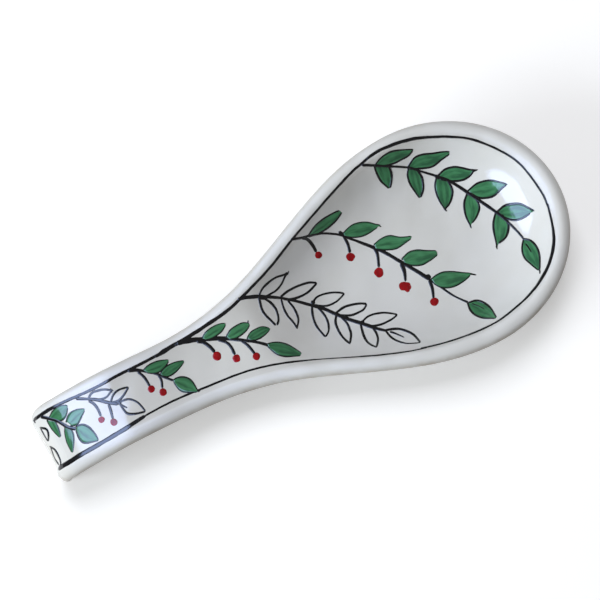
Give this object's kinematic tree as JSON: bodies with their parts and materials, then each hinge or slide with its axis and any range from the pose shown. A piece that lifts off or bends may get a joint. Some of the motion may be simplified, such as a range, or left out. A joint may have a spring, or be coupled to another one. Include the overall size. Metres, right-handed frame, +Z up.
{
  "type": "spoon rest",
  "caption": "Glazed stoneware spoon rest: a pear-shaped dished bowl with a rolled rim and an arched, turned-down handle, painted with leafy sprigs and berries.",
  "frame": {"origin": "on the table, under the middle of the length and of the width", "axes": "+X from the handle's end to the bowl's tip, +Z up; the piece stands on the XY plane"},
  "size_m": [0.2426, 0.102, 0.0262],
  "materials": {
    "clay": "matte",
    "glaze": "gloss",
    "black_paint": "gloss",
    "green_paint": "gloss",
    "red_paint": "gloss"
  },
  "bodies": {
    "root": {"clay_body": "clay", "glaze_coat": "glaze", "border_line": "black_paint", "sprig_stems": "black_paint", "leaf_outlines": "black_paint", "green_leaves": "green_paint", "red_berries": "red_paint"}
  },
  "joints": []
}
